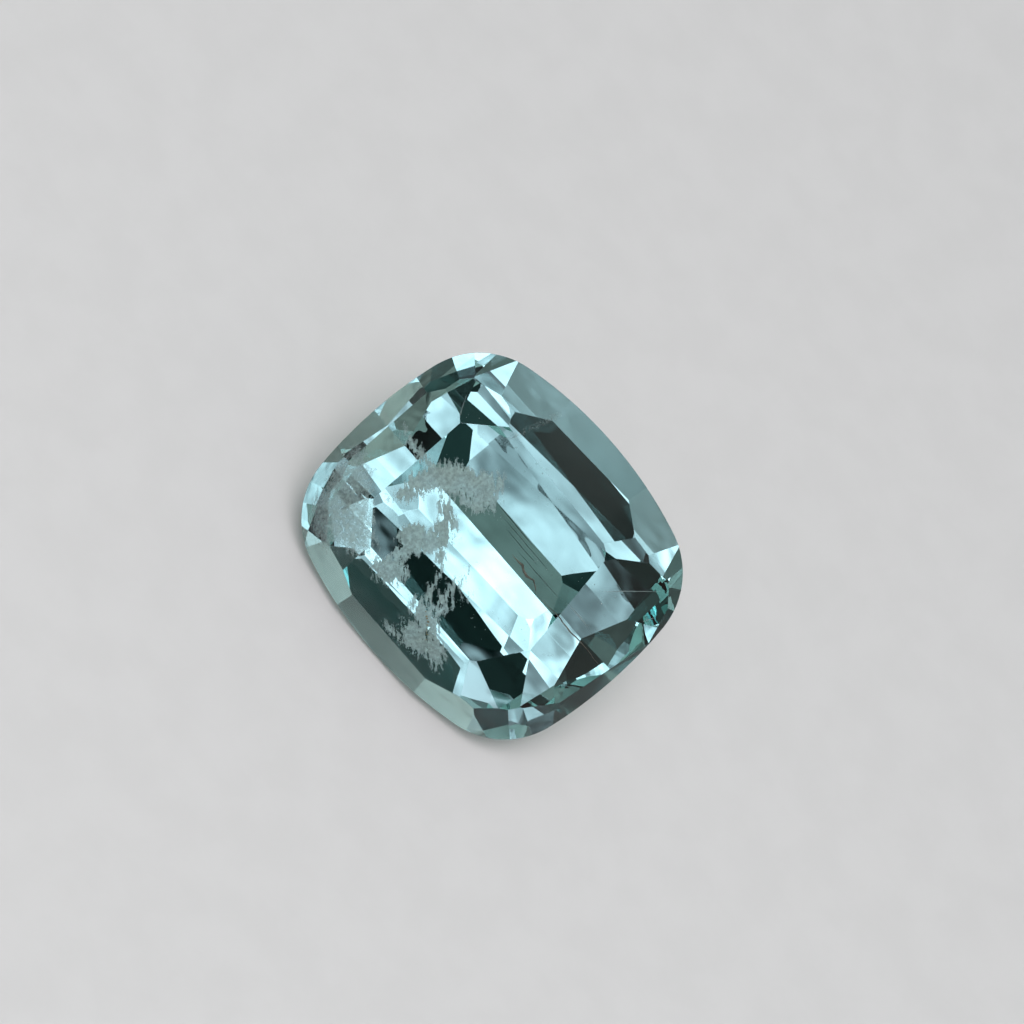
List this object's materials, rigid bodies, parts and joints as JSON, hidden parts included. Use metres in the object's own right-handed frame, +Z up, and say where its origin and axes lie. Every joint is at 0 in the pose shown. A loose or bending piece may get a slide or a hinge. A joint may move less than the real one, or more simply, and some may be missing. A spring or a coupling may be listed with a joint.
{
  "type": "cut tourmaline gemstone",
  "caption": "Cushion-shaped faceted tourmaline, clear blue-green with grey veils and a fine crack inside, lying on a long pavilion facet.",
  "frame": {"origin": "middle of the stone's bounding box in X and Y, on the surface it lies on", "axes": "+X along the stone's longest side, +Z up, -Y the way the table leans towards a viewer"},
  "size_m": [0.0068, 0.0046, 0.0041],
  "materials": {
    "stone": "polished, transparent, refractive index about 1.63"
  },
  "bodies": {
    "root": {"tourmaline": "stone"}
  },
  "joints": []
}
